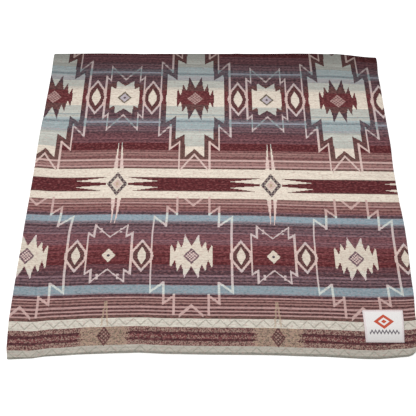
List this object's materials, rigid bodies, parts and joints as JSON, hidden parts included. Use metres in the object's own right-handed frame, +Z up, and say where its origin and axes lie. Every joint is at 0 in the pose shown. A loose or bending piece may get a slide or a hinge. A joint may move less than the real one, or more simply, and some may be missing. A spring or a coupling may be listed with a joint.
{
  "type": "folded blanket",
  "caption": "Woven blanket with stripes and stepped star motifs, folded in half along its length and then twice across, with a sewn label.",
  "frame": {"origin": "on the floor, at the middle of the folded stack's footprint", "axes": "+Z up; +Y away from the viewer, from the near hem to the far fold; +X to the right, from the lengthwise fold to the side edges"},
  "size_m": [0.8524, 0.8388, 0.0268],
  "materials": {
    "woven_cloth": "brushed woven wool-like cloth with stripes and stepped star motifs in burgundy, rose, cream, plum and slate blue",
    "label_ribbon": "smooth white woven label, sewn down round its edge"
  },
  "bodies": {
    "root": {"blanket_cloth": "woven_cloth", "sewn_label": "label_ribbon"}
  },
  "joints": []
}
